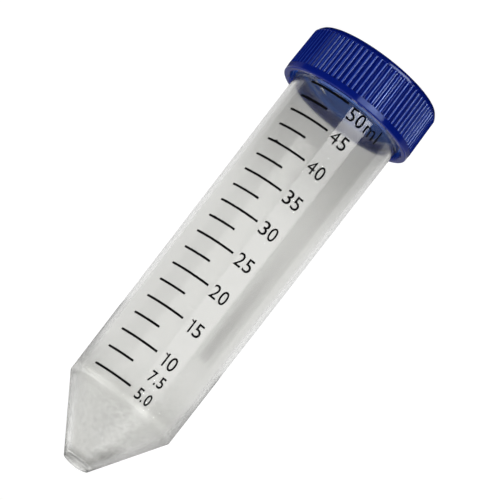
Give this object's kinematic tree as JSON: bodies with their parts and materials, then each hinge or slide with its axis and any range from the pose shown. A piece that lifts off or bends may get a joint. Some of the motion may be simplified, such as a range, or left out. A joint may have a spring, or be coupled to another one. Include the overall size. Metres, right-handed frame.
{
  "type": "50 ml conical tube",
  "caption": "Translucent conical centrifuge tube with printed volume marks and a ribbed blue screw cap, for holding and spinning samples.",
  "frame": {"origin": "centre of the cap's flat top face, which the part stands on", "axes": "+Z along the tube's axis from the cap to the conical tip; the printed marks face -Y"},
  "size_m": [0.0352, 0.0352, 0.1155],
  "materials": {
    "cap_plastic": "glossy royal blue moulded plastic",
    "tube_plastic": "translucent natural polypropylene"
  },
  "bodies": {
    "cap": {"cap": "cap_plastic"},
    "tube": {"tube": "tube_plastic"}
  },
  "joints": [
    {"name": "tube_lift", "type": "slide", "parent": "cap", "child": "tube", "axis": [0, 0, 1], "range_m": [0, 0.035]}
  ]
}
